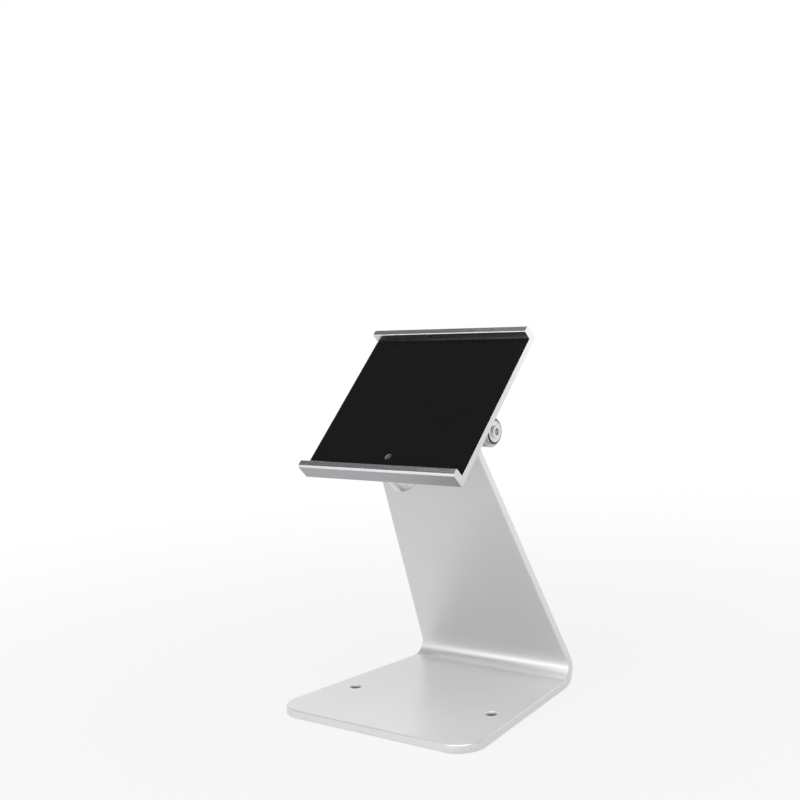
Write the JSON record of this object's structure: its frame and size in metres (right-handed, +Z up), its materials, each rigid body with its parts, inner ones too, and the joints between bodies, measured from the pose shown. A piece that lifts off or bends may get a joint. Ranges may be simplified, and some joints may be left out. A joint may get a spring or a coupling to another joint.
{
  "type": "magnetic tablet stand",
  "caption": "Desk stand for a tablet: a foot and arm bent from one tapered sheet, a friction hinge, and a tilting magnetic cradle with a black mat between its lips and a key lock behind.",
  "frame": {"origin": "middle of the footprint, on the surface the stand rests on", "axes": "+X to the viewer's right, +Y to the back, +Z up"},
  "size_m": [0.144, 0.1347, 0.2273],
  "materials": {
    "anodised_aluminium": "fine bead blasted, clear anodised, satin",
    "mat_rubber": "matt black, fine grain",
    "pad_film": "matt dark grey",
    "stainless_steel": "turned and polished",
    "ground_steel": "ground",
    "washer_plastic": "matt",
    "magnet_nickel": "nickel plated",
    "lock_nickel": "satin nickel plated"
  },
  "bodies": {
    "stand": {"stand_plate": "anodised_aluminium", "base_pad": "pad_film", "hinge_block": "anodised_aluminium", "block_screws": "stainless_steel", "stop_pins": "ground_steel", "friction_washers": "washer_plastic", "pivot_bolts": "stainless_steel"},
    "cradle": {"hinge_bracket": "anodised_aluminium", "bracket_screws": "stainless_steel", "cradle_channel": "anodised_aluminium", "magnets": "magnet_nickel", "cradle_mat": "mat_rubber", "lock_housing": "anodised_aluminium", "lock_set_screw": "stainless_steel"},
    "key_cylinder": {"lock_core": "lock_nickel"},
    "lock_bolt": {"lock_pin": "lock_nickel"}
  },
  "joints": [
    {"name": "cradle_tilt", "type": "hinge", "parent": "stand", "child": "cradle", "pos_m": [0, 0.01031, 0.1675], "axis": [1, 0, 0], "range_deg": [-28, 34]},
    {"name": "key_turn", "type": "hinge", "parent": "cradle", "child": "key_cylinder", "pos_m": [0, -0.0172, 0.14202], "axis": [0, -0.6794, 0.7337], "range_deg": [0, 90]},
    {"name": "pin_slide", "type": "slide", "parent": "cradle", "child": "lock_bolt", "axis": [0, -0.6794, 0.7337], "range_m": [0, 0.005]}
  ],
  "couplings": [
    {"joint": "pin_slide", "follows": "key_turn", "m_per_rad": 0.0031831}
  ]
}
